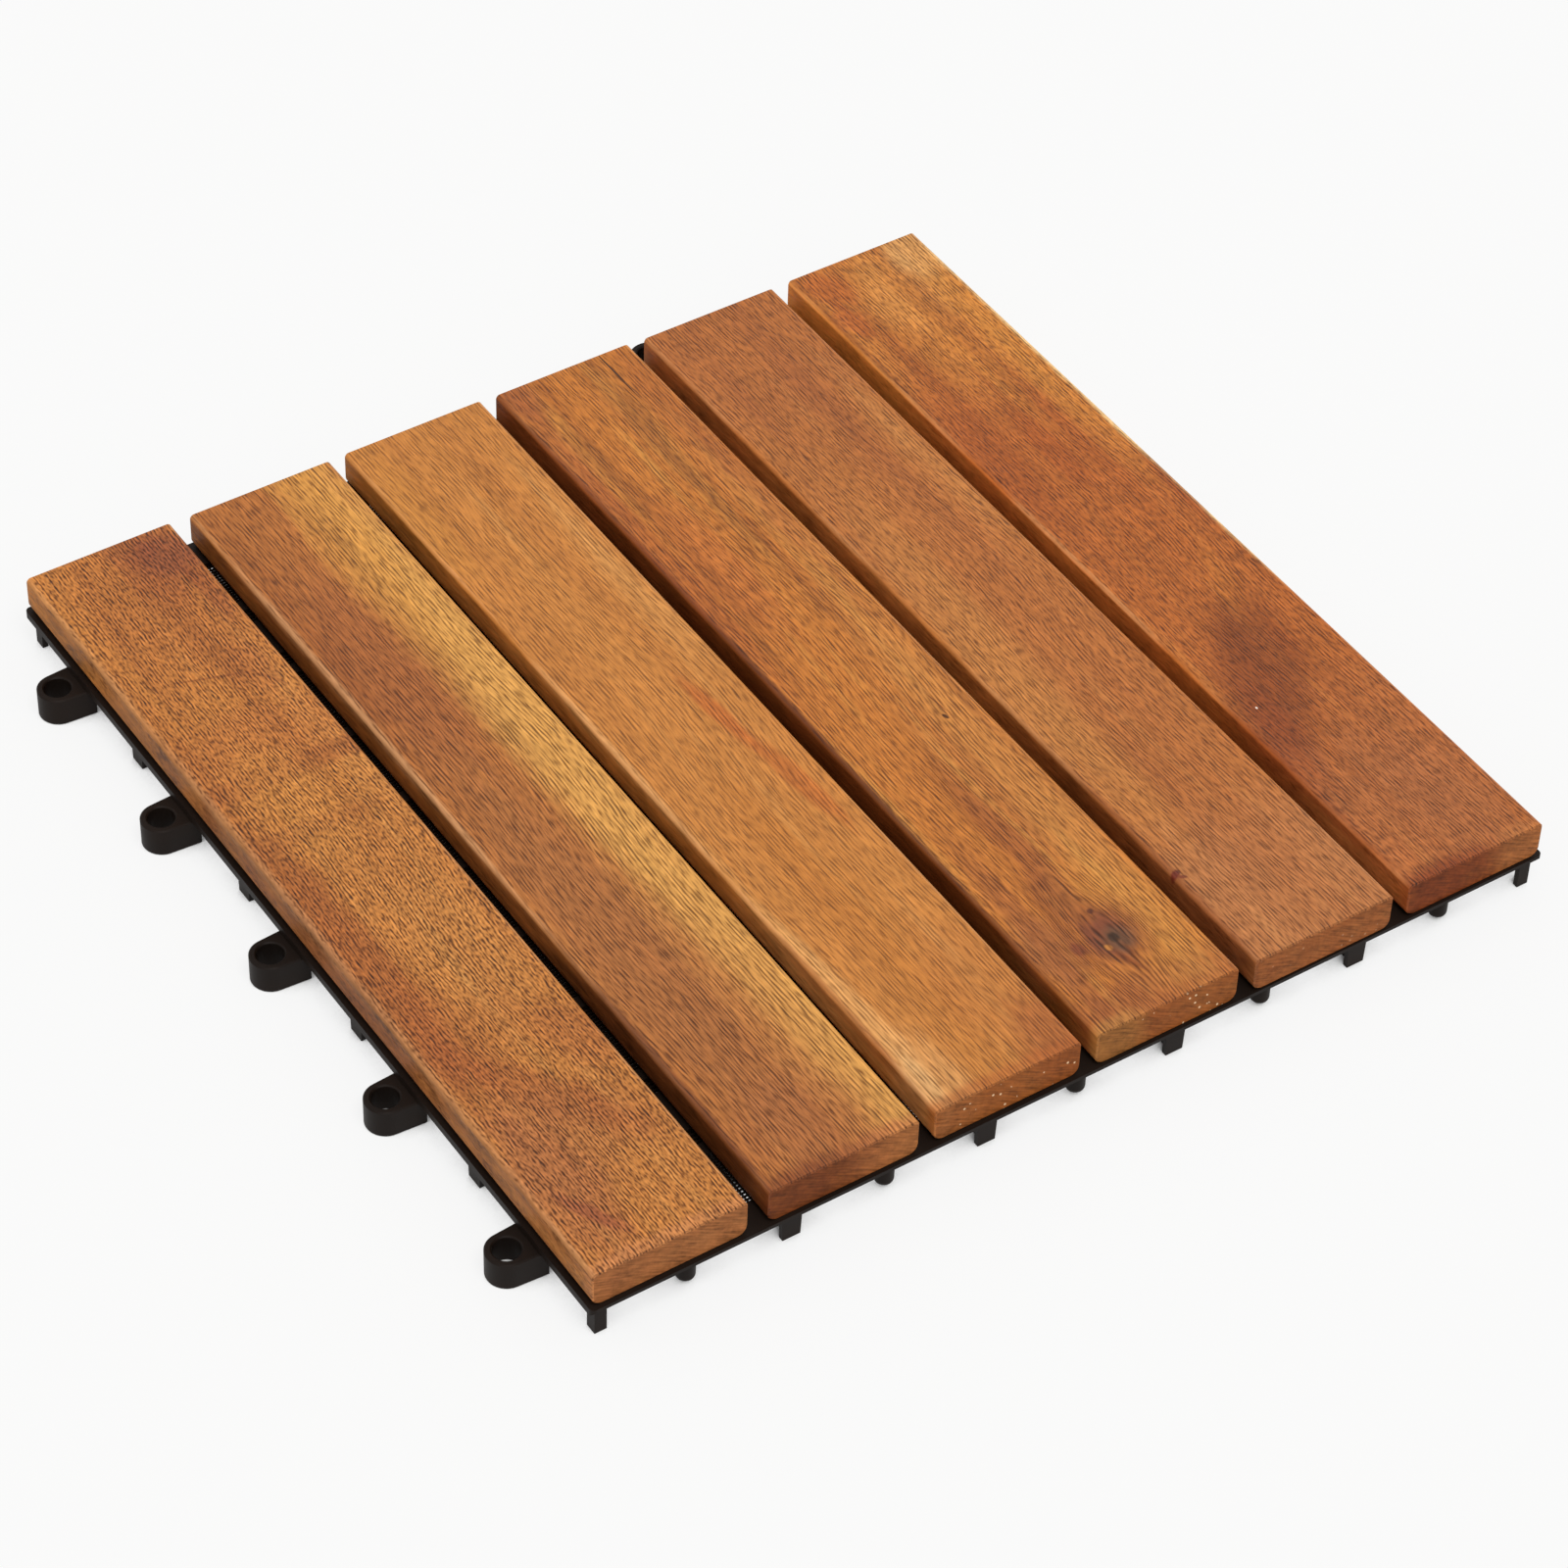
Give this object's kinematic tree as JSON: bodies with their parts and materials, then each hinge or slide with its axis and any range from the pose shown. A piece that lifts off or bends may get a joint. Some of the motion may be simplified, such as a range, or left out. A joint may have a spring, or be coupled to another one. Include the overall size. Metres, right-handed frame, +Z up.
{
  "type": "interlocking deck tile",
  "caption": "Square floor tile of oiled hardwood slats screwed to a moulded plastic grid base, with loops on two edges and pins on the other two that hook tiles together.",
  "frame": {"origin": "middle of the tile on the floor, at the floor face of the middle foot", "axes": "+Z up, out of the walking face; +Y along the slats, away from the front edge, whose opposite edge has loops; +X across the slats, away from the other edge that has loops"},
  "size_m": [0.3131, 0.3131, 0.023],
  "materials": {
    "slat_wood": "oiled, satin",
    "base_plastic": "moulded, matt",
    "screw_steel": "bright zinc plated"
  },
  "bodies": {
    "root": {"slat_1": "slat_wood", "slat_2": "slat_wood", "slat_3": "slat_wood", "slat_4": "slat_wood", "slat_5": "slat_wood", "slat_6": "slat_wood", "base_grid": "base_plastic", "screws": "screw_steel"}
  },
  "joints": []
}
